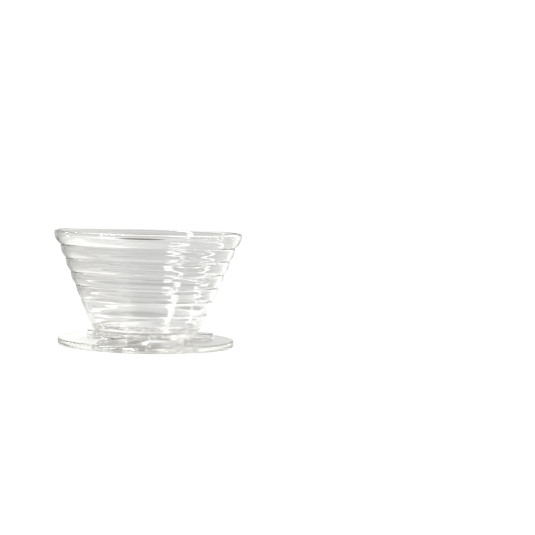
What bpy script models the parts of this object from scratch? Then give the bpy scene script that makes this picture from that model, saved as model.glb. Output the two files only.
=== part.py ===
"""A flat-bottomed pour-over dripper in clear glass.

A stepped conical bowl stands on three round-ended pads, and the pads stand on a flat disc with a round
opening for the drips. The frame's origin is the centre of the disc's underside, with +Z up the bowl.
"""

import math

import bmesh
import bpy
from mathutils import Matrix

# Driving dimensions, in metres.
DISC_RADIUS = 0.0545
DISC_THICKNESS = 0.0038
DISC_EDGE_ROUND = 0.0012

PAD_NAMES = ("front", "right", "left")  # the first points along -Y, and the rest follow counter-clockwise
PAD_STAND = 0.0026  # from the disc's top to the bowl's foot
PAD_WIDTH = 0.0136
PAD_CORNER = 0.003  # at the pad's inner end
PAD_EDGE_ROUND = 0.0004
PAD_INSET = 0.0090  # from the pad's tip to the disc's edge
PAD_UNDER_FOOT = 0.0045  # how far the pad reaches in under the bowl's foot
OPENING_MARGIN = 0.0023  # from the pad's inner end to the disc's opening

BOWL_HEIGHT = 0.064
RIM_RADIUS = 0.058
RIM_BAND = 0.0087  # height of the top band
RIM_CURL = 0.0040  # how far the top band curls in
GROOVES = 7
FOOT_RADIUS = 0.0298
FOOT_BAND = 0.0055  # height of the lowest band
FOOT_FLARE = 0.0044  # how far the lowest band spreads
FULL_CURL_HEIGHT = 0.038  # bands above this height are fully rounded
WALL = 0.0027  # measured level, across the wall
FLOOR = 0.0030
FLOOR_CORNER = 0.0020  # the inner round between floor and wall

DRAIN_RADIUS = 0.0020
DRAIN_RING_RADIUS = 0.0085
DRAIN_RING_COUNT = 6
RIB_COUNT = 24
RIB_WIDTH = 0.0014
RIB_RISE = 0.0010
RIB_SINK = 0.0006  # how deep a rib's root is in the floor
RIB_START = 0.0150  # from the axis to a rib's inner end
RIB_WALL_GAP = 0.0010  # from a rib's outer end to the corner's round

# Touching pieces keep this much air between them.
SEAM = 0.0003

# How finely curves are drawn.
TURN_STEPS = 48
BAND_STEPS = 3
ARC_STEPS = 3
PAD_BEVEL_STEPS = 2
HOLE_SIDES = 16
MERGE = 0.00001

# Heights and radii that follow from the sizes above.
PAD_BOTTOM = DISC_THICKNESS + SEAM
FOOT_HEIGHT = DISC_THICKNESS + PAD_STAND
PAD_TOP = FOOT_HEIGHT - SEAM
PAD_INNER_END = FOOT_RADIUS - PAD_UNDER_FOOT
PAD_TIP = DISC_RADIUS - PAD_INSET
OPENING_RADIUS = PAD_INNER_END - OPENING_MARGIN
LIP = WALL / 2  # the lip is half round
LIP_HEIGHT = BOWL_HEIGHT - LIP


def clear_scene():
    for old in list(bpy.data.objects):
        bpy.data.objects.remove(old, do_unlink=True)


def new_collection(name):
    group = bpy.data.collections.new(name)
    bpy.context.scene.collection.children.link(group)
    return group


def glass(name, tint, roughness):
    """Clear glass with a faint tint."""
    material = bpy.data.materials.new(name)
    material.use_nodes = True
    shader = material.node_tree.nodes["Principled BSDF"]
    shader.inputs["Base Color"].default_value = (*tint, 1.0)
    shader.inputs["Metallic"].default_value = 0.0
    shader.inputs["Roughness"].default_value = roughness
    shader.inputs["IOR"].default_value = 1.47
    shader.inputs["Transmission Weight"].default_value = 1.0
    material.diffuse_color = (*tint, 0.5)
    return material


def add_object(name, data, group, material=None):
    piece = bpy.data.objects.new(name, data)
    group.objects.link(piece)
    if material is not None:
        data.materials.append(material)
    return piece


def arc(centre, radius, start, end, steps):
    """Points along an arc in the XZ plane, from start to end in degrees."""
    points = []
    for step in range(steps + 1):
        angle = math.radians(start + (end - start) * step / steps)
        points.append((centre[0] + radius * math.cos(angle), centre[1] + radius * math.sin(angle)))
    return points


def turned_mesh(name, outline):
    """The closed outline of a ring's section, as (radius, height) points."""
    mesh = bpy.data.meshes.new(name)
    corners = [(radius, 0.0, height) for radius, height in outline]
    edges = [(i, (i + 1) % len(corners)) for i in range(len(corners))]
    mesh.from_pydata(corners, edges, [])
    return mesh


def turn(piece):
    """Turns a section about the Z axis."""
    screw = piece.modifiers.new("turn", "SCREW")
    screw.axis = "Z"
    screw.angle = math.tau
    screw.steps = TURN_STEPS
    screw.render_steps = TURN_STEPS
    screw.use_merge_vertices = True
    screw.merge_threshold = MERGE
    screw.use_smooth_shade = True


def join_or_cut(piece, tool, operation):
    """Joins a tool's shape onto a piece with UNION, or cuts it out with DIFFERENCE."""
    boolean = piece.modifiers.new(tool.name, "BOOLEAN")
    boolean.operation = operation
    boolean.solver = "EXACT"
    boolean.object = tool
    tool.hide_render = True
    tool.display_type = "WIRE"


def band_edges():
    """The heights and outer radii of the band edges above the foot, from the lip down."""
    top_height = BOWL_HEIGHT - RIM_BAND
    top_radius = RIM_RADIUS - RIM_CURL
    low_radius = FOOT_RADIUS + FOOT_FLARE
    edges = [(LIP_HEIGHT, RIM_RADIUS)]
    for groove in range(GROOVES):
        share = groove / (GROOVES - 1)
        height = top_height + (FOOT_BAND - top_height) * share
        radius = top_radius + (low_radius - top_radius) * share
        edges.append((height, radius))
    edges.append((0.0, FOOT_RADIUS))
    return edges


def wall_radius(height):
    """The bowl's outer radius at a height above its foot.

    Each band leaves its upper edge nearly upright and curls in towards its lower one. The radius falls by
    a blend of the depth below the band's top and that depth's square, and the square's part fades out
    towards the foot.
    """
    edges = band_edges()
    for (upper, wide), (lower, narrow) in zip(edges, edges[1:]):
        if height >= lower:
            curl = min(1.0, (upper + lower) / 2 / FULL_CURL_HEIGHT)
            depth = (upper - height) / (upper - lower)
            return wide - (wide - narrow) * ((1 - curl) * depth + curl * depth * depth)
    raise ValueError("a height below the foot")


def wall_heights(lowest, highest):
    """Heights along the wall from lowest to highest, with one on every groove between them."""
    edges = [height for height, _ in band_edges()]
    heights = []
    for upper, lower in zip(edges, edges[1:]):
        for step in range(BAND_STEPS):
            heights.append(upper + (lower - upper) * step / BAND_STEPS)
    inside = [height for height in heights if lowest + MERGE < height < highest - MERGE]
    return sorted([lowest, *inside, highest])


def bowl_outline():
    """The bowl's section: down the outside, in under the foot to the drain, and up the inside."""
    outside_heights = reversed(wall_heights(0.0, LIP_HEIGHT))
    outside = [(wall_radius(height), height) for height in outside_heights]
    drain = [(DRAIN_RADIUS, 0.0), (DRAIN_RADIUS, FLOOR)]
    corner_height = FLOOR + FLOOR_CORNER
    corner_radius = wall_radius(corner_height) - WALL
    corner = arc((corner_radius - FLOOR_CORNER, corner_height), FLOOR_CORNER, 270, 360, ARC_STEPS)
    inside_heights = wall_heights(corner_height, LIP_HEIGHT)[1:]
    inside = [(wall_radius(height) - WALL, height) for height in inside_heights]
    lip = arc((RIM_RADIUS - LIP, LIP_HEIGHT), LIP, 180, 0, 2 * ARC_STEPS)[1:-1]
    return outside + drain + corner + inside + lip


def floor_radius():
    """Where the bowl's flat floor ends and its corner begins."""
    return wall_radius(FLOOR + FLOOR_CORNER) - WALL - FLOOR_CORNER


def drain_pegs(group):
    """A ring of upright round pegs, which drill the drain holes."""
    drill = bmesh.new()
    for hole in range(DRAIN_RING_COUNT):
        angle = math.tau * hole / DRAIN_RING_COUNT
        pegs = bmesh.ops.create_cone(
            drill,
            cap_ends=True,
            segments=HOLE_SIDES,
            radius1=DRAIN_RADIUS,
            radius2=DRAIN_RADIUS,
            depth=3 * FLOOR,
        )
        place = (DRAIN_RING_RADIUS * math.cos(angle), DRAIN_RING_RADIUS * math.sin(angle), FLOOR / 2)
        bmesh.ops.translate(drill, verts=pegs["verts"], vec=place)
    mesh = bpy.data.meshes.new("drain_pegs")
    drill.to_mesh(mesh)
    drill.free()
    return add_object("drain_pegs", mesh, group)


def rib_bars(group):
    """A ring of low radial bars, which stand on the bowl's floor."""
    bars = bmesh.new()
    outer_end = floor_radius() - RIB_WALL_GAP
    length = outer_end - RIB_START
    for rib in range(RIB_COUNT):
        bar = bmesh.ops.create_cube(bars, size=1.0)
        bmesh.ops.scale(bars, verts=bar["verts"], vec=(length, RIB_WIDTH, RIB_RISE + RIB_SINK))
        centre = (RIB_START + length / 2, 0.0, FLOOR + (RIB_RISE - RIB_SINK) / 2)
        bmesh.ops.translate(bars, verts=bar["verts"], vec=centre)
        about_axis = Matrix.Rotation(math.tau * (rib + 0.5) / RIB_COUNT, 3, "Z")
        bmesh.ops.rotate(bars, verts=bar["verts"], cent=(0.0, 0.0, 0.0), matrix=about_axis)
    mesh = bpy.data.meshes.new("floor_ribs")
    bars.to_mesh(mesh)
    bars.free()
    return add_object("floor_ribs", mesh, group)


def make_bowl(group, cutters, base):
    """The stepped bowl, with ribs standing on its floor and drain holes through it."""
    section = turned_mesh("bowl_section", bowl_outline())
    bowl = add_object("ribbed_bowl", section, group, glass("bowl_glass", (0.95, 0.97, 0.95), 0.02))
    turn(bowl)
    ribs = rib_bars(cutters)
    pegs = drain_pegs(cutters)
    join_or_cut(bowl, ribs, "UNION")
    join_or_cut(bowl, pegs, "DIFFERENCE")
    ribs.parent = bowl
    pegs.parent = bowl
    bowl.parent = base
    bowl.location = (0.0, 0.0, FOOT_HEIGHT)
    return bowl


def make_disc(group, base):
    """The flat disc with rounded edges and its round opening."""
    edge = DISC_EDGE_ROUND
    top = DISC_THICKNESS
    outer_top = arc((DISC_RADIUS - edge, top - edge), edge, 90, 0, ARC_STEPS)
    outer_low = arc((DISC_RADIUS - edge, edge), edge, 0, -90, ARC_STEPS)
    inner_low = arc((OPENING_RADIUS + edge, edge), edge, 270, 180, ARC_STEPS)
    inner_top = arc((OPENING_RADIUS + edge, top - edge), edge, 180, 90, ARC_STEPS)
    section = turned_mesh("disc_section", outer_top + outer_low + inner_low + inner_top)
    disc = add_object("base_disc", section, group, glass("disc_glass", (0.94, 0.96, 0.94), 0.02))
    turn(disc)
    disc.parent = base
    return disc


def pad_outline():
    """A pad seen from above, pointing along +X: a half-round tip, and an inner end with round corners."""
    half = PAD_WIDTH / 2
    tip = arc((PAD_TIP - half, 0.0), half, -90, 90, 4 * ARC_STEPS)
    inner = PAD_INNER_END + PAD_CORNER
    far_corner = arc((inner, half - PAD_CORNER), PAD_CORNER, 90, 180, ARC_STEPS)
    near_corner = arc((inner, PAD_CORNER - half), PAD_CORNER, 180, 270, ARC_STEPS)
    return tip + far_corner + near_corner


def pad_curve():
    """The pad's outline as a flat curve with thickness."""
    outline = pad_outline()
    curve = bpy.data.curves.new("pad_outline", "CURVE")
    curve.dimensions = "2D"
    curve.fill_mode = "BOTH"
    curve.extrude = (PAD_TOP - PAD_BOTTOM) / 2
    spline = curve.splines.new("POLY")
    spline.points.add(len(outline) - 1)
    for point, (x, y) in zip(spline.points, outline):
        point.co = (x, y, 0.0, 1.0)
    spline.use_cyclic_u = True
    return curve


def make_pads(group, base):
    """Three pads, the first at the front, spread evenly about the axis."""
    curve = pad_curve()
    curve.materials.append(glass("pad_glass", (0.94, 0.96, 0.94), 0.03))
    for number, name in enumerate(PAD_NAMES):
        pad = add_object("spacer_pad_" + name, curve, group)
        weld = pad.modifiers.new("weld", "WELD")
        weld.merge_threshold = MERGE
        bevel = pad.modifiers.new("round", "BEVEL")
        bevel.width = PAD_EDGE_ROUND
        bevel.segments = PAD_BEVEL_STEPS
        bevel.limit_method = "ANGLE"
        bevel.angle_limit = math.radians(60)  # only the top and bottom rims are this sharp
        pad.parent = base
        pad.location = (0.0, 0.0, (PAD_BOTTOM + PAD_TOP) / 2)
        pad.rotation_euler = (0.0, 0.0, math.radians(-90) + math.tau * number / len(PAD_NAMES))


def main():
    clear_scene()
    group = new_collection("pour_over_dripper")
    cutters = new_collection("cutters")
    base = bpy.data.objects.new("dripper_base", None)
    group.objects.link(base)
    make_disc(group, base)
    make_pads(group, base)
    make_bowl(group, cutters, base)
    bpy.context.view_layer.update()


main()
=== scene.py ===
"""A flat-bottomed pour-over dripper in clear glass, in a plain pale studio.

The stepped bowl, its three pads and the flat disc are poured-glass surfaces worked out with numpy. Their
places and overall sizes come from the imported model, and they stay inside it. Lengths are in metres, and
angles are in degrees where a name or a comment doesn't say otherwise.
"""

import math

import bpy
import numpy as np
from mathutils import Matrix, Vector


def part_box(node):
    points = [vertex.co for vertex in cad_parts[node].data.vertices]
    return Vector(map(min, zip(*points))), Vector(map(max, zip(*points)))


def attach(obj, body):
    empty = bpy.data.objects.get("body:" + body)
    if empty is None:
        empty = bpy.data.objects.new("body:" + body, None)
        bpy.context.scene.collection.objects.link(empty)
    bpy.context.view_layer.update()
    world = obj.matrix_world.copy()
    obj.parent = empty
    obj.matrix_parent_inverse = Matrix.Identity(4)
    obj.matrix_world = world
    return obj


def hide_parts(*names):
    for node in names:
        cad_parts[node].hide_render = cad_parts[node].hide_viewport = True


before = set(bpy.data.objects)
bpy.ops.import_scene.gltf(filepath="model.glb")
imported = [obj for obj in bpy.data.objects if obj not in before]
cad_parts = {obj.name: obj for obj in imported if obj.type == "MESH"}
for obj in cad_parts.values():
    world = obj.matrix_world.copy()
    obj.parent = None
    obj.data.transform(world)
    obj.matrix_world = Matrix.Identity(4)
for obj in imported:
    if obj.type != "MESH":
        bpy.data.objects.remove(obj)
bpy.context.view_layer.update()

BODY = "root"
MM = 0.001

# The bowl's bands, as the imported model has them. Heights are above the foot.
BOWL_LOW, BOWL_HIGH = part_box("ribbed_bowl")
FOOT_Z = BOWL_LOW.z
BOWL_HEIGHT = BOWL_HIGH.z - BOWL_LOW.z
RIM_RADIUS = BOWL_HIGH.x
RIM_BAND = 8.7 * MM
RIM_CURL = 4.0 * MM
GROOVES = 7
FOOT_RADIUS = 29.8 * MM
FOOT_BAND = 5.5 * MM
FOOT_FLARE = 4.4 * MM
FULL_CURL_HEIGHT = 38 * MM
CURL_POWER = 2.4
WALL = 2.7 * MM
LIP = WALL / 2
LIP_HEIGHT = BOWL_HEIGHT - LIP
FLOOR = 3.0 * MM
FLOOR_CORNER = 2.0 * MM
FOOT_CORNER = 0.8 * MM

# How the glass of the walls runs: round grooves, level threads from the mould and a bead inside the lip.
OUTER_SOFTNESS = 0.4 * MM
INNER_SOFTNESS = 1.3 * MM
SOFTENING_TAPS = 15
OUTER_THREAD = 0.012 * MM
INNER_THREAD = 0.032 * MM
THREAD_PITCH = 5 * MM
THREAD_FADE = 6 * MM
BEAD_BULGE = 0.9 * MM
BEAD_LEAST = 0.12  # of the bulge, all the way round
BEAD_HEIGHT = 1.9 * MM
BEAD_FADE = 1.7 * MM
BEAD_ANGLE = -86
BEAD_SPREAD = 19

# The bowl's floor.
DRAIN_RADIUS = 2.0 * MM
DRAIN_EDGE = 0.5 * MM
DRAIN_RING_RADIUS = 8.5 * MM
DRAIN_RING_COUNT = 6
RIB_COUNT = 24
RIB_HALF_WIDTH = 1.1 * MM
RIB_RISE = 1.0 * MM
RIB_START = 15 * MM
RIB_END = 27.5 * MM
RIB_RUN_OUT = 2 * MM
PEG_STEPS = 24
PEG_OVERSHOOT = 2 * MM

# The disc and the pads.
DISC_LOW, DISC_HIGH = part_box("base_disc")
DISC_RADIUS = DISC_HIGH.x
DISC_TOP = DISC_HIGH.z
DISC_EDGE = 0.8 * MM
OPENING_RADIUS = 23 * MM
PAD_ANGLES = {"front": -90, "right": 30, "left": 150}
PAD_WIDTH = 13.6 * MM
PAD_INNER_END = 25.3 * MM
PAD_TIP = 45.5 * MM
PAD_CORNER = 3.0 * MM
PAD_ROUND = 0.7 * MM
PAD_MELT = 0.04 * MM  # how deep a pad's ends sink into the glass that they are fused to

# How finely surfaces are drawn.
TURN_STEPS = 340
BAND_POINTS = 14
DISC_STEPS = 320

# Edges that turn by more than this stay crisp.
CRISP_EDGE = 50

# The glass.
GLASS_IOR = 1.47
BOWL_TINT = (0.65, 0.655, 0.625)
DISC_TINT = (0.65, 0.66, 0.62)
RIPPLE_STRETCH = (1.0, 1.0, 3.0)
POLISH_SCALE = 60.0
DULLEST_POLISH = 0.03

# The room that the glass shows. Bearings are clockwise from straight behind the dripper, as the camera sees
# it, and heights are above the horizon. Each stop pairs one with a brightness.
ROOM_BEARINGS = [(-180, 0.5), (-120, 0.5), (-60, 0.45), (-30, 0.44), (-12, 0.56), (-4, 0.62)]
ROOM_BEARINGS += [(6, 0.61), (12, 0.64), (24, 0.98), (40, 1.13), (100, 1.1), (140, 0.7), (180, 0.5)]
ROOM_HEIGHTS = [(-90, 1.0), (-1, 0.98), (2, 1.15), (8, 1.2), (12, 1.05)]
ROOM_HEIGHTS += [(17, 0.44), (30, 0.34), (40, 0.6), (55, 1.0), (90, 1.1)]
BRIGHT_SIDE = [(-180, 0.0), (3, 0.0), (13, 1.0), (140, 1.0), (170, 0.0), (180, 0.0)]
BRIGHT_SIDE_LIGHT = 1.1
BROWN_HEIGHTS = [(-90, 0.0), (11, 0.0), (17, 1.0), (45, 1.0), (70, 0.0), (90, 0.0)]
ROOM_WHITE = (1.0, 0.997, 0.975, 1.0)
ROOM_BROWN = (1.0, 0.95, 0.87, 1.0)
PAPER_WHITE = 1.05

# A glow on the wall just above the horizon, which the disc's top shows on its left.
GLOW_BEARINGS = [(-180, 0.0), (-30, 0.0), (-12, 0.5), (-4, 1.0), (-1.6, 1.0), (0.2, 0.15)]
GLOW_BEARINGS += [(6, 0.0), (180, 0.0)]
GLOW_HEIGHTS = [(-90, 0.0), (0, 0.0), (2.5, 0.45), (5, 0.6), (9, 0.5), (14, 0.0), (90, 0.0)]

# The floor's painted light and shade, against the distance from the dripper: far out in soft bands of painted
# light and shade that turn a little as they come nearer, and close by a painted light of its own with a
# painted shadow, which is darkest under the disc.
FLOOR_SIZE = 8.0
FLOOR_GAP = 0.5 * MM
FLOOR_DISTANCES = [(0.0, 0.9), (0.12, 0.95), (0.22, 1.25), (0.42, 0.86), (0.75, 1.12), (1.4, 0.84)]
FLOOR_DISTANCES += [(2.6, 1.15), (4.0, 1.1)]
FLOOR_TURN = [(0.0, 4.0), (0.1, 4.0), (0.4, 0.0), (4.0, 0.0)]
NEAR_SHARE = [(0.0, 1.0), (0.1, 1.0), (0.15, 0.4), (0.22, 0.0), (4.0, 0.0)]
NEAR_PAINTED_SHADOW_AND_LIGHT = [(0.0, 0.5), (0.034, 0.55), (0.048, 1.0), (0.075, 1.1), (0.3, 1.0)]
NEAR_BEARINGS = [(-180, 0.66), (-90, 0.8), (-45, 0.9), (-12, 1.13), (14, 1.13), (45, 0.9)]
NEAR_BEARINGS += [(90, 0.8), (180, 0.66)]

# Lamps, light paths and camera.
LAMP_DISTANCE = 1.6
LAMP_AIM_HEIGHT = 0.05
GLASS_BOUNCES = 48  # light passes many surfaces where the wall is seen edge-on
MIRROR_BOUNCES = 24
CAMERA_DISTANCE = 0.950
CAMERA_HEIGHT = 0.0993
CAMERA_BEARING = 7.5  # to the right of the front pad
CAMERA_YAW = 4.49
CAMERA_PITCH = -2.97
CAMERA_ROLL = 1.64
CAMERA_LENS = 102.7


# ---- surfaces ----


def grid_faces(rings, along, closed_along=True):
    """Four-cornered faces of a grid of closed rings. The rings' points run round +Z, and each ring follows
    the one before it down the outside, so that the faces point outwards."""
    ring = np.arange(rings)
    step = np.arange(along if closed_along else along - 1)
    here, there = np.meshgrid(ring, step, indexing="ij")
    next_ring = (here + 1) % rings
    next_step = (there + 1) % along
    corners = [(here, there), (here, next_step), (next_ring, next_step), (next_ring, there)]
    return np.stack([(ring * along + step).ravel() for ring, step in corners], axis=1).tolist()


def closed_ends(rings, along):
    """The faces of an open grid of rings, with one flat face over each of its two ends."""
    first = np.arange(rings) * along
    last = (first + along - 1)[::-1]
    return grid_faces(rings, along, closed_along=False) + [first.tolist(), last.tolist()]


def add_mesh(name, points, faces, material):
    """A smooth-shaded mesh object at the origin, from a grid of points and its faces."""
    mesh = bpy.data.meshes.new(name)
    mesh.from_pydata(points.reshape(-1, 3).tolist(), [], faces)
    mesh.shade_smooth()
    mesh.materials.append(material)
    piece = bpy.data.objects.new(name, mesh)
    bpy.context.scene.collection.objects.link(piece)
    return piece


def rounded(start, end, centre, radius, steps):
    """Flat points on an arc about a centre, from one angle to another: the centre plus the radius times the
    cosine and the sine."""
    angle = np.radians(np.linspace(start, end, steps))
    return np.stack([centre[0] + radius * np.cos(angle), centre[1] + radius * np.sin(angle)], axis=1)


def straight(start, end, steps):
    """Flat points evenly from start to end, without either."""
    share = np.linspace(0, 1, steps + 2)[1:-1, None]
    return (1 - share) * np.array(start) + share * np.array(end)


# ---- the bowl ----


def band_edges():
    """Heights and outer radii of the bands' edges, from the lip down to the foot."""
    top = np.array([BOWL_HEIGHT - RIM_BAND, RIM_RADIUS - RIM_CURL])
    low = np.array([FOOT_BAND, FOOT_RADIUS + FOOT_FLARE])
    share = np.linspace(0, 1, GROOVES)[:, None]
    return np.vstack([[LIP_HEIGHT, RIM_RADIUS], (1 - share) * top + share * low, [0.0, FOOT_RADIUS]])


def banded_radius(height):
    """The outer radius at a height: in each band the radius falls from its upper edge by a blend of the
    depth and the depth to a power, and the curled part fades out towards the foot."""
    edges = band_edges()
    height = np.clip(height, 0.0, LIP_HEIGHT)
    band = np.clip(np.searchsorted(-edges[:, 0], -height, side="left") - 1, 0, GROOVES)
    upper, wide = edges[band].T
    lower, narrow = edges[band + 1].T
    curl = np.minimum(1.0, (upper + lower) / 2 / FULL_CURL_HEIGHT)
    depth = (upper - height) / (upper - lower)
    return wide - (wide - narrow) * ((1 - curl) * depth + curl * depth**CURL_POWER)


def poured_radius(height, softness):
    """The banded radius averaged over a short stretch of the height, with a cosine's weights that nearly
    vanish at its ends, which rounds the grooves as molten glass rounds them."""
    taps = np.linspace(-softness, softness, SOFTENING_TAPS)
    weight = 1 + np.cos(np.pi * taps / (softness * 1.05))
    return sum(w * banded_radius(height + tap) for w, tap in zip(weight, taps)) / weight.sum()


def mould_threads(angle, height, seed, count):
    """The level threads that a turning mould leaves, between about -1 and 1: a sum of sines in the height
    with pitches near the given one, whose strengths and phases drift slowly round the bowl. Angles here are
    in radians."""
    draw = np.random.default_rng(seed)
    total = np.zeros(np.broadcast(angle, height).shape)
    for _ in range(count):
        rise = math.tau / (THREAD_PITCH * draw.uniform(0.6, 1.7))
        turns = draw.integers(1, 4)
        drift = draw.uniform(0.6, 1.6) * np.sin(turns * angle + draw.uniform(0, math.tau))
        strength = 1 + 0.6 * np.sin(draw.integers(1, 5) * angle + draw.uniform(0, math.tau))
        total += strength * np.sin(rise * height + drift + draw.uniform(0, math.tau))
    return total / math.sqrt(count)


def lip_bead(angle, height):
    """How far the lip's fire-polished bead stands in from the wall: full at the top and fading by half a
    cosine at its foot, and thickest at one angle, from which it thins as a bell curve."""
    above = (height - (BOWL_HEIGHT - BEAD_HEIGHT - BEAD_FADE)) / BEAD_FADE
    off = (np.degrees(angle) - BEAD_ANGLE + 180) % 360 - 180
    thickness = BEAD_BULGE * (BEAD_LEAST + (1 - BEAD_LEAST) * np.exp(-((off / BEAD_SPREAD) ** 2)))
    return thickness * (1 - np.cos(np.pi * np.clip(above, 0, 1))) / 2


def bowl_section():
    """The bowl's closed section as (radius, height) points above the foot, and which stretch each is on:
    down the outside, round the foot, in to the drain and through it, out along the floor, up the inside
    and over the lip."""
    share = (1 - np.cos(np.pi * np.arange(BAND_POINTS) / BAND_POINTS)) / 2
    uppers, lowers = band_edges()[:-1, 0], band_edges()[1:, 0].clip(FOOT_CORNER)
    outer_heights = np.append((uppers[:, None] + (lowers - uppers)[:, None] * share).ravel(), FOOT_CORNER)
    outside = np.stack([poured_radius(outer_heights, OUTER_SOFTNESS), outer_heights], axis=1)
    foot_edge = outside[-1, 0]
    foot = rounded(0, -90, (foot_edge - FOOT_CORNER, FOOT_CORNER), FOOT_CORNER, 6)[1:]
    under = straight((foot_edge - FOOT_CORNER, 0.0), (DRAIN_RADIUS + DRAIN_EDGE, 0.0), 5)
    drain_low = rounded(270, 180, (DRAIN_RADIUS + DRAIN_EDGE, DRAIN_EDGE), DRAIN_EDGE, 5)
    drain_top = rounded(180, 90, (DRAIN_RADIUS + DRAIN_EDGE, FLOOR - DRAIN_EDGE), DRAIN_EDGE, 5)
    corner_height = FLOOR + FLOOR_CORNER
    corner_radius = float(poured_radius(np.array([corner_height]), INNER_SOFTNESS)[0]) - WALL
    floor = straight((DRAIN_RADIUS + DRAIN_EDGE, FLOOR), (corner_radius - FLOOR_CORNER, FLOOR), 26)
    corner = rounded(-90, 0, (corner_radius - FLOOR_CORNER, corner_height), FLOOR_CORNER, 8)
    bead_foot = BOWL_HEIGHT - BEAD_HEIGHT - BEAD_FADE
    to_bead = np.linspace(corner_height, bead_foot, 90)[1:]
    over_bead = np.linspace(bead_foot, LIP_HEIGHT, 14)[1:]
    inner_heights = np.concatenate([to_bead, over_bead])
    inside = np.stack([poured_radius(inner_heights, INNER_SOFTNESS) - WALL, inner_heights], axis=1)
    lip = rounded(180, 0, (outside[0, 0] - LIP, LIP_HEIGHT), LIP, 14)[1:-1]
    parts = [("outside", outside), ("foot", foot), ("under", under), ("drain", drain_low)]
    parts += [("drain", drain_top), ("floor", floor), ("corner", corner), ("inside", inside), ("lip", lip)]
    places = np.concatenate([[name] * len(points) for name, points in parts])
    return np.concatenate([points for _, points in parts]), places


def rib_height(angle, radius):
    """Low ribs on the floor: a raised cosine across each rib, which rises and falls smoothly at its ends
    by three times the square less twice the cube of the way along."""
    from_middle = (angle * RIB_COUNT / math.tau) % 1.0 - 0.5
    across = from_middle * math.tau * radius / RIB_COUNT / RIB_HALF_WIDTH
    crest = np.where(np.abs(across) < 1, (1 + np.cos(np.pi * across)) / 2, 0.0)
    ends = np.clip((radius - RIB_START) / RIB_RUN_OUT, 0, 1) * np.clip((RIB_END - radius) / RIB_RUN_OUT, 0, 1)
    return RIB_RISE * crest * ends * ends * (3 - 2 * ends)


def make_bowl(material):
    """The bowl: its section turned about the axis, with mould threads on both walls that fade out at the foot
    and the lip, a bead inside the lip and ribs on the floor."""
    section, places = bowl_section()
    angle = (np.arange(TURN_STEPS) / TURN_STEPS * math.tau)[:, None]
    radius = np.broadcast_to(section[:, 0], (TURN_STEPS, len(section))).copy()
    height = np.broadcast_to(section[:, 1], radius.shape).copy()
    near_ends = np.sqrt(np.clip(np.minimum(height, LIP_HEIGHT - height) / THREAD_FADE, 0, 1))
    on_outside = places == "outside"
    on_inside = places == "inside"
    outer = OUTER_THREAD * mould_threads(angle, height, seed=11, count=8) * near_ends
    inner = INNER_THREAD * mould_threads(angle, height, seed=23, count=10) * near_ends
    radius += np.where(on_outside, outer, 0) + np.where(on_inside, inner - lip_bead(angle, height), 0)
    lip_reach = (RIM_RADIUS - radius) / (2 * LIP)
    radius -= np.where(places == "lip", lip_bead(angle, BOWL_HEIGHT) * lip_reach, 0)
    height += np.where(places == "floor", rib_height(angle, radius), 0)
    points = np.stack([radius * np.cos(angle), radius * np.sin(angle), height + FOOT_Z], axis=2)
    bowl = add_mesh("bowl", points, grid_faces(*radius.shape), material)
    drill_drains(bowl)
    return bowl


def drill_drains(bowl):
    """Drills the ring of drain holes with spool-shaped pegs, which round each hole's two edges."""
    flare = DRAIN_RADIUS + DRAIN_EDGE
    top = rounded(90, 180, (flare, FLOOR - DRAIN_EDGE), DRAIN_EDGE, 5)
    low = rounded(180, 270, (flare, DRAIN_EDGE), DRAIN_EDGE, 5)
    section = np.concatenate([[[flare, FLOOR + PEG_OVERSHOOT]], top, low, [[flare, -PEG_OVERSHOOT]]])
    turn = (np.arange(PEG_STEPS) / PEG_STEPS * math.tau)[:, None]
    x, y = section[:, 0] * np.cos(turn), section[:, 0] * np.sin(turn)
    rings = np.stack([x, y, np.broadcast_to(section[:, 1], x.shape)], axis=2)
    faces = closed_ends(PEG_STEPS, len(section))
    pegs = []
    for hole in range(DRAIN_RING_COUNT):
        place = math.tau * hole / DRAIN_RING_COUNT
        centre = (DRAIN_RING_RADIUS * math.cos(place), DRAIN_RING_RADIUS * math.sin(place), FOOT_Z)
        mesh = bpy.data.meshes.new("peg")
        mesh.from_pydata((rings + centre).reshape(-1, 3).tolist(), [], faces)
        peg = bpy.data.objects.new("peg", mesh)
        bpy.context.scene.collection.objects.link(peg)
        cut = bowl.modifiers.new("drain", "BOOLEAN")
        cut.object = peg
        cut.solver = "EXACT"
        pegs.append(peg)
    drilled = bpy.data.meshes.new_from_object(bowl.evaluated_get(bpy.context.evaluated_depsgraph_get()))
    bowl.modifiers.clear()
    bowl.data = drilled
    drilled.shade_smooth()
    drilled.set_sharp_from_angle(angle=math.radians(CRISP_EDGE))
    for peg in pegs:
        bpy.data.objects.remove(peg)


# ---- the disc and the pads ----


def make_disc(material):
    """The disc: a flat ring's section with four round edges, turned about the axis."""
    top, low = DISC_TOP, DISC_LOW.z
    outer = DISC_RADIUS - DISC_EDGE
    inner = OPENING_RADIUS + DISC_EDGE
    section = np.concatenate(
        [
            straight((inner, top), (outer, top), 24),
            rounded(90, 0, (outer, top - DISC_EDGE), DISC_EDGE, 8),
            rounded(0, -90, (outer, low + DISC_EDGE), DISC_EDGE, 8),
            straight((outer, low), (inner, low), 24),
            rounded(270, 180, (inner, low + DISC_EDGE), DISC_EDGE, 8),
            rounded(180, 90, (inner, top - DISC_EDGE), DISC_EDGE, 8),
        ]
    )
    angle = (np.arange(DISC_STEPS) / DISC_STEPS * math.tau)[:, None]
    radius = np.broadcast_to(section[:, 0], (DISC_STEPS, len(section)))
    height = np.broadcast_to(section[:, 1], radius.shape)
    points = np.stack([radius * np.cos(angle), radius * np.sin(angle), height], axis=2)
    return add_mesh("disc", points, grid_faces(*radius.shape), material)


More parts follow.
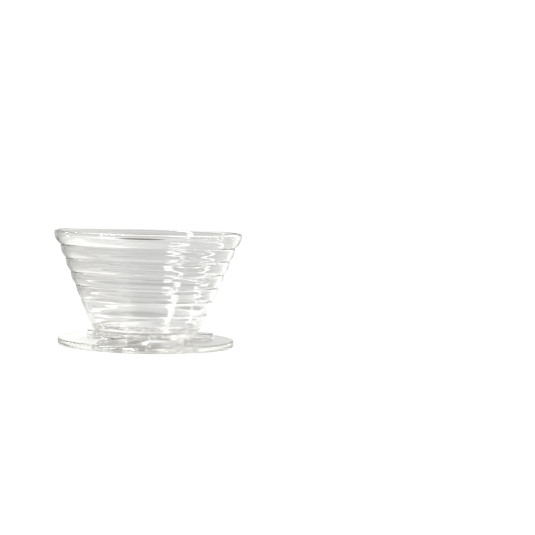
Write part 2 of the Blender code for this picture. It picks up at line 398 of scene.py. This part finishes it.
def pad_outline(inset):
    """A pad's outline seen from above, pointing along +X and drawn in by an inset: a half-round tip, two
    parallel sides and an inner end with round corners."""
    half = PAD_WIDTH / 2
    tip_x, inner_x, inner_y = PAD_TIP - half, PAD_INNER_END + PAD_CORNER, half - PAD_CORNER
    side, corner, end = half - inset, PAD_CORNER - inset, PAD_INNER_END + inset
    return np.concatenate(
        [
            rounded(-90, 90, (tip_x, 0.0), side, 44),
            straight((tip_x, side), (inner_x, side), 10),
            rounded(90, 180, (inner_x, inner_y), corner, 12),
            straight((end, inner_y), (end, -inner_y), 6),
            rounded(180, 270, (inner_x, -inner_y), corner, 12),
            straight((inner_x, -side), (tip_x, -side), 10),
        ]
    )


def make_pad(name, bearing, material):
    """A pad: its outline at each level, drawn in by a quarter-circle at the top and bottom edges, turned to
    its bearing and closed by two flat ends."""
    high, low = FOOT_Z + PAD_MELT, DISC_TOP - PAD_MELT
    top = rounded(90, 0, (-PAD_ROUND, high - PAD_ROUND), PAD_ROUND, 8)
    foot = rounded(0, -90, (-PAD_ROUND, low + PAD_ROUND), PAD_ROUND, 8)
    edge = np.concatenate([top, foot])
    outline = np.stack([pad_outline(-inset) for inset in edge[:, 0]], axis=1)
    spin = math.radians(bearing)
    x = outline[..., 0] * math.cos(spin) - outline[..., 1] * math.sin(spin)
    y = outline[..., 0] * math.sin(spin) + outline[..., 1] * math.cos(spin)
    points = np.stack([x, y, np.broadcast_to(edge[:, 1], x.shape)], axis=2)
    pad = add_mesh(name, points, closed_ends(*x.shape), material)
    pad.data.set_sharp_from_angle(angle=math.radians(CRISP_EDGE))
    return pad


# ---- glass ----


def clear_glass(name, tint, density, ripple_scale, ripple_depth):
    """Clear glass: faintly tinted through its thickness, with soft mould ripples in its normals and slight
    changes of polish over its surface."""
    material = bpy.data.materials.new(name)
    material.use_nodes = True
    nodes, links = material.node_tree.nodes, material.node_tree.links
    shader = nodes["Principled BSDF"]
    shader.inputs["Base Color"].default_value = (1.0, 1.0, 1.0, 1.0)
    shader.inputs["IOR"].default_value = GLASS_IOR
    shader.inputs["Transmission Weight"].default_value = 1.0
    place = nodes.new("ShaderNodeTexCoord")
    stretch = nodes.new("ShaderNodeMapping")
    stretch.inputs["Scale"].default_value = RIPPLE_STRETCH
    links.new(place.outputs["Object"], stretch.inputs["Vector"])
    ripple = nodes.new("ShaderNodeTexNoise")
    ripple.inputs["Scale"].default_value = ripple_scale
    ripple.inputs["Detail"].default_value = 2.0
    links.new(stretch.outputs["Vector"], ripple.inputs["Vector"])
    bump = nodes.new("ShaderNodeBump")
    bump.inputs["Strength"].default_value = 1.0
    bump.inputs["Distance"].default_value = ripple_depth
    links.new(ripple.outputs["Fac"], bump.inputs["Height"])
    links.new(bump.outputs["Normal"], shader.inputs["Normal"])
    polish = nodes.new("ShaderNodeTexNoise")
    polish.inputs["Scale"].default_value = POLISH_SCALE
    polish.inputs["Detail"].default_value = 4.0
    links.new(place.outputs["Object"], polish.inputs["Vector"])
    spread = nodes.new("ShaderNodeMapRange")
    spread.inputs["From Min"].default_value = 0.35
    spread.inputs["From Max"].default_value = 0.75
    spread.inputs["To Min"].default_value = 0.0
    spread.inputs["To Max"].default_value = DULLEST_POLISH
    links.new(polish.outputs["Fac"], spread.inputs["Value"])
    links.new(spread.outputs["Result"], shader.inputs["Roughness"])
    depth = nodes.new("ShaderNodeVolumeAbsorption")
    depth.inputs["Color"].default_value = (*tint, 1.0)
    depth.inputs["Density"].default_value = density
    links.new(depth.outputs["Volume"], nodes["Material Output"].inputs["Volume"])
    return material


# ---- the studio ----


def math_node(nodes, links, operation, first, second=None):
    """One step of arithmetic on an output, with a second output or a plain number where it needs one."""
    node = nodes.new("ShaderNodeMath")
    node.operation = operation
    links.new(first, node.inputs[0])
    if isinstance(second, float):
        node.inputs[1].default_value = second
    elif second is not None:
        links.new(second, node.inputs[1])
    return node.outputs["Value"]


def number_ramp(nodes, links, source, stops, full=2.0):
    """A smooth curve through (number, result) stops in rising order, drawn as shares of a full result."""
    low, high = stops[0][0], stops[-1][0]
    place = nodes.new("ShaderNodeMapRange")
    place.inputs["From Min"].default_value = low
    place.inputs["From Max"].default_value = high
    links.new(source, place.inputs["Value"])
    curve = nodes.new("ShaderNodeFloatCurve")
    curve.mapping.use_clip = False
    line = curve.mapping.curves[0]
    while len(line.points) < len(stops):
        line.points.new(0.5, 0.5)
    for point, (number, result) in zip(line.points, stops):
        point.location = ((number - low) / (high - low), result / full)
        point.handle_type = "AUTO_CLAMPED"
    curve.mapping.update()
    links.new(place.outputs["Result"], curve.inputs["Value"])
    return math_node(nodes, links, "MULTIPLY", curve.outputs["Value"], full)


def blended(nodes, links, share, first, second):
    """A mix from the first output to the second, which is an output or a plain number, by a share."""
    mix = nodes.new("ShaderNodeMix")
    links.new(share, mix.inputs["Factor"])
    links.new(first, mix.inputs["A"])
    if isinstance(second, float):
        mix.inputs["B"].default_value = second
    else:
        links.new(second, mix.inputs["B"])
    return mix.outputs["Result"]


def white_to_camera(nodes, links, room, plain, out):
    """Shows the plain shader to the camera itself, and the room's shader to all other light."""
    path = nodes.new("ShaderNodeLightPath")
    mix = nodes.new("ShaderNodeMixShader")
    links.new(path.outputs["Is Camera Ray"], mix.inputs["Fac"])
    links.new(room, mix.inputs[1])
    links.new(plain, mix.inputs[2])
    links.new(mix.outputs["Shader"], out.inputs["Surface"])


def bearing_of(nodes, links, vector):
    """The compass bearing of a direction or a place, clockwise from straight behind the dripper, with the
    direction's split parts."""
    turn = nodes.new("ShaderNodeVectorRotate")
    turn.rotation_type = "Z_AXIS"
    turn.inputs["Angle"].default_value = -math.radians(CAMERA_BEARING)
    links.new(vector, turn.inputs["Vector"])
    split = nodes.new("ShaderNodeSeparateXYZ")
    links.new(turn.outputs["Vector"], split.inputs["Vector"])
    angle = math_node(nodes, links, "ARCTAN2", split.outputs["X"], split.outputs["Y"])
    return math_node(nodes, links, "DEGREES", angle), split


def studio_world():
    """Soft surroundings: white to the camera, and to the glass a room that is bright on the right, darker on
    the left, and has a brown band between a white wall and a white ceiling."""
    world = bpy.data.worlds.new("studio")
    bpy.context.scene.world = world
    world.use_nodes = True
    nodes, links = world.node_tree.nodes, world.node_tree.links
    nodes.clear()
    out = nodes.new("ShaderNodeOutputWorld")
    place = nodes.new("ShaderNodeTexCoord")
    bearing, split = bearing_of(nodes, links, place.outputs["Generated"])
    rise = math_node(nodes, links, "DEGREES", math_node(nodes, links, "ARCSINE", split.outputs["Z"]))
    around = number_ramp(nodes, links, bearing, ROOM_BEARINGS)
    glow_around = number_ramp(nodes, links, bearing, GLOW_BEARINGS)
    glow_above = number_ramp(nodes, links, rise, GLOW_HEIGHTS)
    glow = math_node(nodes, links, "MULTIPLY", glow_around, glow_above)
    above = math_node(nodes, links, "ADD", number_ramp(nodes, links, rise, ROOM_HEIGHTS), glow)
    bright_side = number_ramp(nodes, links, bearing, BRIGHT_SIDE)
    above = blended(nodes, links, bright_side, above, BRIGHT_SIDE_LIGHT)
    room = nodes.new("ShaderNodeBackground")
    links.new(math_node(nodes, links, "MULTIPLY", around, above), room.inputs["Strength"])
    wall_colour = nodes.new("ShaderNodeMix")
    wall_colour.data_type = "RGBA"
    wall_colour.inputs["A"].default_value = ROOM_WHITE
    wall_colour.inputs["B"].default_value = ROOM_BROWN
    links.new(number_ramp(nodes, links, rise, BROWN_HEIGHTS), wall_colour.inputs["Factor"])
    links.new(wall_colour.outputs["Result"], room.inputs["Color"])
    plain = nodes.new("ShaderNodeBackground")
    plain.inputs["Color"].default_value = (1.0, 1.0, 1.0, 1.0)
    plain.inputs["Strength"].default_value = PAPER_WHITE
    white_to_camera(nodes, links, room.outputs["Background"], plain.outputs["Background"], out)


def make_floor():
    """A pale floor that is white to the camera. Through the glass it glows with painted light and shade that
    continue the room's, and close to the dripper with a painted light and a painted shadow of its own,
    darkest under the disc."""
    material = bpy.data.materials.new("pale_floor")
    material.use_nodes = True
    nodes, links = material.node_tree.nodes, material.node_tree.links
    nodes.clear()
    out = nodes.new("ShaderNodeOutputMaterial")
    place = nodes.new("ShaderNodeTexCoord")
    bearing, _ = bearing_of(nodes, links, place.outputs["Object"])
    length = nodes.new("ShaderNodeVectorMath")
    length.operation = "LENGTH"
    links.new(place.outputs["Object"], length.inputs[0])
    reach = length.outputs["Value"]
    bearing = math_node(nodes, links, "ADD", bearing, number_ramp(nodes, links, reach, FLOOR_TURN, 16.0))
    # Painted light and shade in soft bands far out on the floor.
    around = number_ramp(nodes, links, bearing, ROOM_BEARINGS)
    away = number_ramp(nodes, links, reach, FLOOR_DISTANCES)
    far_painted_light = math_node(nodes, links, "MULTIPLY", around, away)
    # Painted light close by, with a painted shadow that is darkest under the disc.
    near_around = number_ramp(nodes, links, bearing, NEAR_BEARINGS)
    near_away = number_ramp(nodes, links, reach, NEAR_PAINTED_SHADOW_AND_LIGHT)
    near_painted_light = math_node(nodes, links, "MULTIPLY", near_around, near_away)
    near_share = number_ramp(nodes, links, reach, NEAR_SHARE)
    # The floor glows with this painted light and shade where it is seen through the glass.
    through = nodes.new("ShaderNodeEmission")
    through.inputs["Color"].default_value = ROOM_WHITE
    links.new(blended(nodes, links, near_share, far_painted_light, near_painted_light), through.inputs["Strength"])
    plain = nodes.new("ShaderNodeEmission")
    plain.inputs["Strength"].default_value = PAPER_WHITE
    white_to_camera(nodes, links, through.outputs["Emission"], plain.outputs["Emission"], out)
    bpy.ops.mesh.primitive_plane_add(size=FLOOR_SIZE, location=(0, 0, -FLOOR_GAP))
    floor = bpy.context.object
    floor.name = "floor"
    floor.data.materials.append(material)


def softbox(name, aside, height, width, tall, strength):
    """An area lamp that faces the bowl and stands a number of degrees to the right of the front."""
    lamp = bpy.data.lights.new(name, "AREA")
    lamp.shape = "RECTANGLE"
    lamp.size = width
    lamp.size_y = tall
    lamp.energy = strength
    holder = bpy.data.objects.new(name, lamp)
    bpy.context.scene.collection.objects.link(holder)
    way = math.radians(aside)
    holder.location = (LAMP_DISTANCE * math.sin(way), -LAMP_DISTANCE * math.cos(way), height)
    facing = Vector((0, 0, LAMP_AIM_HEIGHT)) - holder.location
    holder.rotation_euler = facing.to_track_quat("-Z", "Y").to_euler()


def make_camera():
    """The camera stands a little to the right of the front pad, looks past the bowl's right and slightly
    down, and leans clockwise."""
    data = bpy.data.cameras.new("camera")
    data.sensor_width = 36.0
    data.lens = CAMERA_LENS
    camera = bpy.data.objects.new("camera", data)
    bpy.context.scene.collection.objects.link(camera)
    way = math.radians(CAMERA_BEARING)
    camera.location = (CAMERA_DISTANCE * math.sin(way), -CAMERA_DISTANCE * math.cos(way), CAMERA_HEIGHT)
    heading = Matrix.Rotation(math.radians(CAMERA_BEARING - CAMERA_YAW), 4, "Z")
    tip = Matrix.Rotation(math.radians(90 + CAMERA_PITCH), 4, "X")
    lean = Matrix.Rotation(math.radians(CAMERA_ROLL), 4, "Z")
    camera.rotation_euler = (heading @ tip @ lean).to_euler()
    bpy.context.scene.camera = camera


def main():
    bowl_glass = clear_glass("bowl_glass", BOWL_TINT, density=9.0, ripple_scale=70.0, ripple_depth=0.04 * MM)
    disc_glass = clear_glass("disc_glass", DISC_TINT, density=7.0, ripple_scale=60.0, ripple_depth=0.04 * MM)
    pad_glass = clear_glass("pad_glass", DISC_TINT, density=9.0, ripple_scale=120.0, ripple_depth=0.06 * MM)
    dressed = [(make_bowl(bowl_glass), "bowl_glass", "ribbed_bowl")]
    dressed.append((make_disc(disc_glass), "disc_glass", "base_disc"))
    for side, angle in PAD_ANGLES.items():
        dressed.append((make_pad("pad_" + side, angle, pad_glass), "pad_glass", "spacer_pad_" + side))
    for piece, finish, node in dressed:
        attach(piece, BODY)
        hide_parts(node)
    studio_world()
    make_floor()
    softbox("left_strip", -50, height=1.2, width=0.34, tall=2.5, strength=95)
    softbox("left_far_strip", -112, height=1.2, width=0.16, tall=2.4, strength=14)
    softbox("right_wide", 58, height=1.3, width=0.9, tall=1.2, strength=4)
    make_camera()
    scene = bpy.context.scene
    scene.view_settings.view_transform = "Standard"
    scene.cycles.max_bounces = GLASS_BOUNCES
    scene.cycles.transmission_bounces = GLASS_BOUNCES
    scene.cycles.glossy_bounces = MIRROR_BOUNCES


main()
